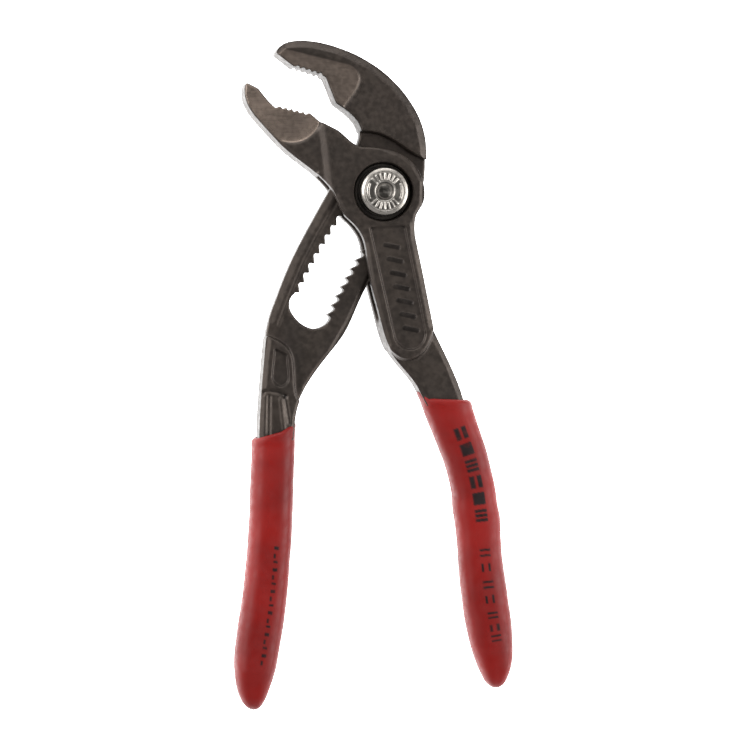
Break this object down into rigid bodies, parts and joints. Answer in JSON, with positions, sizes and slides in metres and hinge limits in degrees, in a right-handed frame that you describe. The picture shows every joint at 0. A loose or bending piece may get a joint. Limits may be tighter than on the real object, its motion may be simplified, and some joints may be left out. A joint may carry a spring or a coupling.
{
  "type": "tongue and groove pliers",
  "caption": "slip-joint water pump pliers: box-joint leg with push-button toothed bolt, slotted leg with hooked jaw, serrated jaws, dipped grips",
  "frame": {"origin": "on the hinge bolt's axis, in the plane the tool rests on", "axes": "+X to the right handle, +Y towards the jaws, +Z along the bolt towards the push button"},
  "size_m": [0.053, 0.1256, 0.0121],
  "materials": {
    "forged_steel": "forged, dark phosphated, satin",
    "bolt_steel": "turned, satin",
    "button_steel": "stamped and polished",
    "spring_steel": "drawn wire",
    "grip_vinyl": "dipped vinyl, satin"
  },
  "bodies": {
    "box_side": {"box_leg": "forged_steel", "box_leg_grip": "grip_vinyl"},
    "spring_seat": {"spring_washer": "bolt_steel", "button_spring": "spring_steel"},
    "slotted_side": {"slotted_leg": "forged_steel", "slotted_leg_grip": "grip_vinyl"},
    "bolt_set": {"toothed_bolt": "bolt_steel", "bolt_collar": "bolt_steel", "push_button": "button_steel"}
  },
  "joints": [
    {"name": "handle_pivot", "type": "hinge", "parent": "box_side", "child": "spring_seat", "pos_m": [0, 0, 0.005], "axis": [0, 0, 1], "range_deg": [-20, 12.5]},
    {"name": "slot_adjust", "type": "hinge", "parent": "spring_seat", "child": "slotted_side", "pos_m": [0.08385, -0.06598, 0.005], "axis": [0, 0, -1], "range_deg": [0, 12.89]},
    {"name": "button_press", "type": "slide", "parent": "spring_seat", "child": "bolt_set", "axis": [0, 0, -1], "range_m": [0, 0.002], "stiffness_N_per_m": 1500, "springref_m": -0.001, "deforming": ["button_spring"]}
  ]
}
